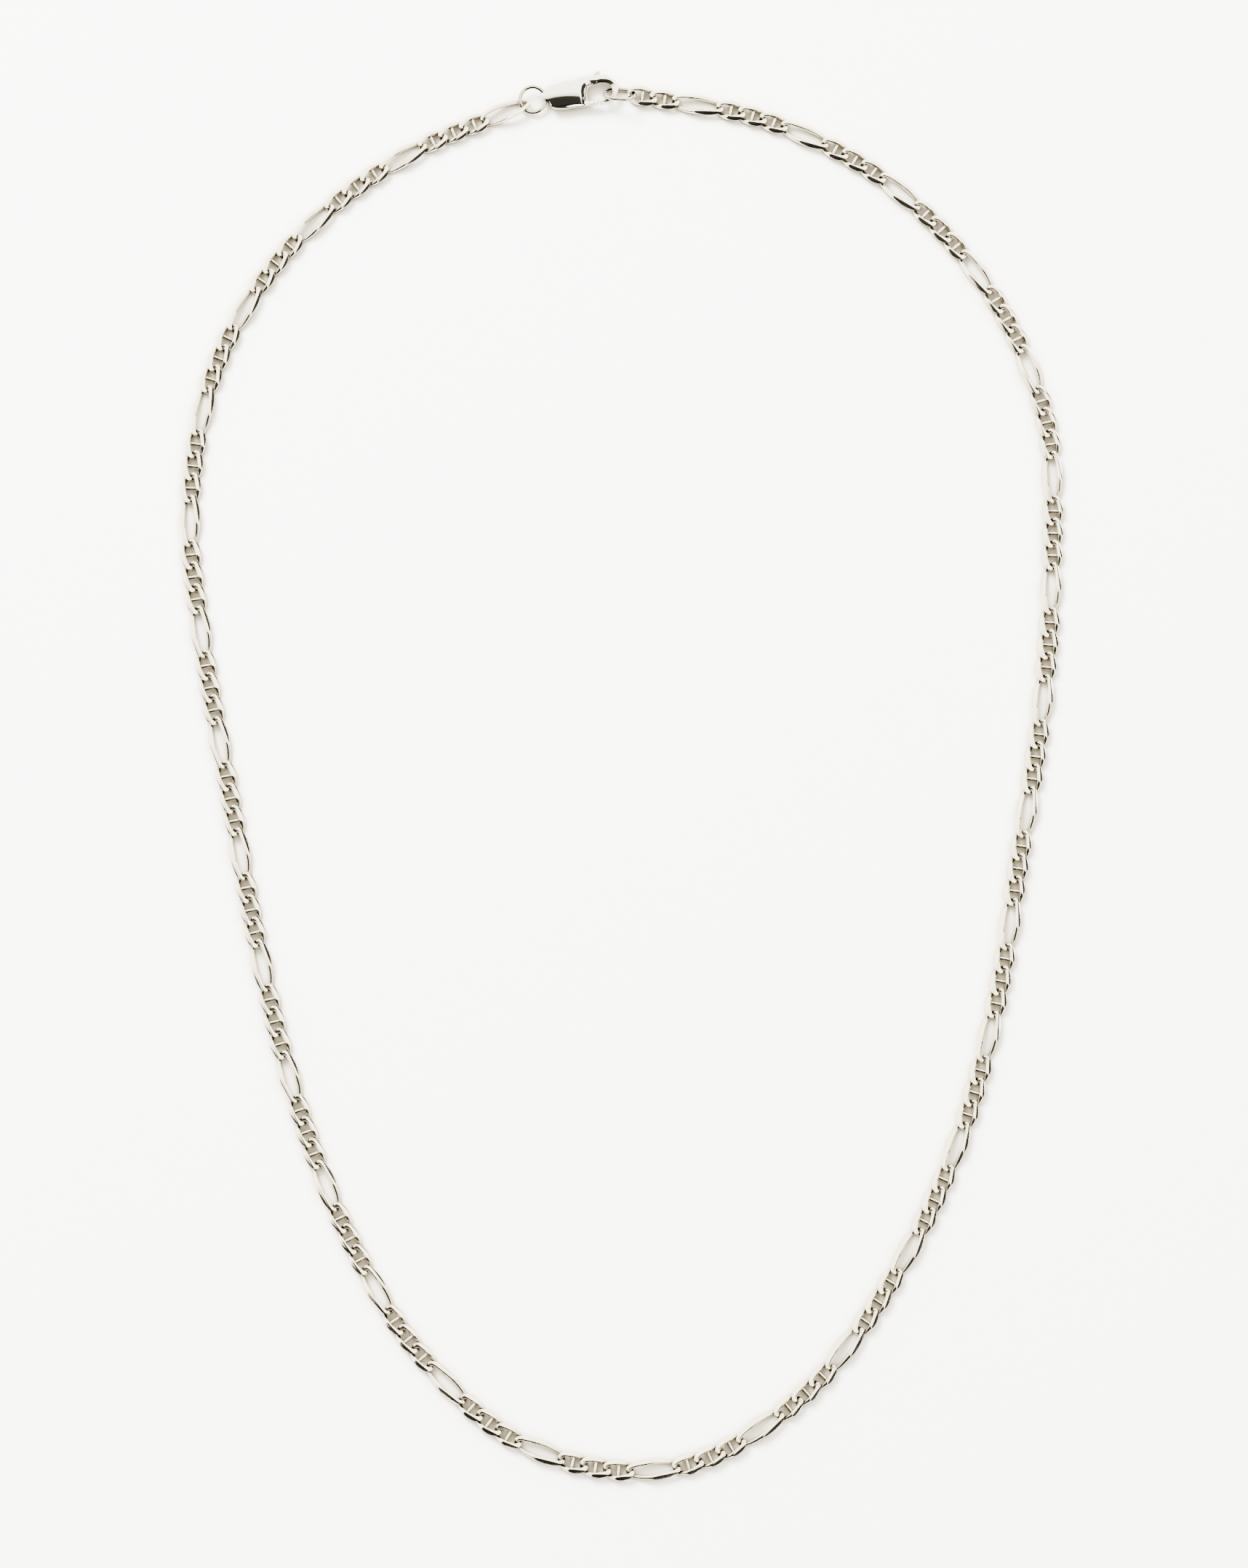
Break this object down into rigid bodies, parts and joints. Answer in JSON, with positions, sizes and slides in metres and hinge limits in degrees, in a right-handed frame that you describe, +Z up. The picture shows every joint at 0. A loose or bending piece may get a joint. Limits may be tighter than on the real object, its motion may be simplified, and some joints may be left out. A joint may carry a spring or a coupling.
{
  "type": "curb chain necklace",
  "caption": "Cut curb chain necklace with long plain links and short barred ones, closed in a loop by a hook clasp with a sprung lever and two rings.",
  "frame": {"origin": "on the table, under the middle of the whole necklace as it lies closed", "axes": "+Z up from the table, +Y towards the clasp's side of the loop, +X to the right across the loop seen from above"},
  "size_m": [0.1122, 0.1794, 0.0025],
  "materials": {
    "chain_silver": "polished, with fine wear",
    "ring_silver": "polished",
    "clasp_silver": "polished, with fine scratches"
  },
  "bodies": {
    "necklace": {"chain_left": "chain_silver", "chain_right": "chain_silver", "jump_ring": "ring_silver", "end_ring": "ring_silver", "clasp_body": "clasp_silver", "clasp_rivet": "clasp_silver"},
    "lever": {"clasp_lever": "clasp_silver"}
  },
  "joints": [
    {"name": "lever_hinge", "type": "hinge", "parent": "necklace", "child": "lever", "pos_m": [-0.00529, 0.08573, 0.00112], "axis": [0, 0, 1], "range_deg": [0, 24], "stiffness_Nm_per_rad": 0.0005, "springref_deg": -17.19}
  ]
}
